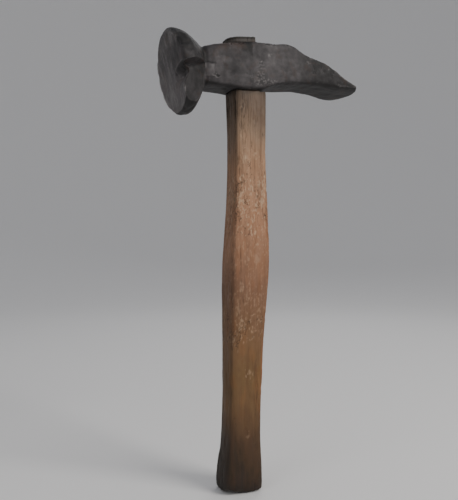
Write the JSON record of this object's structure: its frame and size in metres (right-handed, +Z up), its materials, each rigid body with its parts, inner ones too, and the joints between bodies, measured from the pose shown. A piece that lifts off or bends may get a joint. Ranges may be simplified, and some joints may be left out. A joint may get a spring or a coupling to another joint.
{
  "type": "shoemaker's pattern hammer",
  "caption": "Worn forged hammer with a broad round striking face and a wide thin drooping pein, wedged on a swelled wooden handle.",
  "frame": {"origin": "middle of the flat butt of the handle, on which the hammer can be stood", "axes": "+Z up the handle towards the head, +X along the head from the handle towards the pein, so the striking face looks towards -X, +Y across the head"},
  "size_m": [0.1355, 0.0531, 0.2908],
  "materials": {
    "forged_iron": "dark forged iron with worn scale, dents and pits",
    "handle_wood": "old varnished wood, worn through and grimy towards the head and the butt",
    "wedge_wood": "bare end-grain hardwood, greyed",
    "wedge_steel": "dull tarnished steel"
  },
  "bodies": {
    "root": {"head": "forged_iron", "handle": "handle_wood", "wooden_wedge": "wedge_wood", "steel_wedge_1": "wedge_steel", "steel_wedge_2": "wedge_steel"}
  },
  "joints": []
}
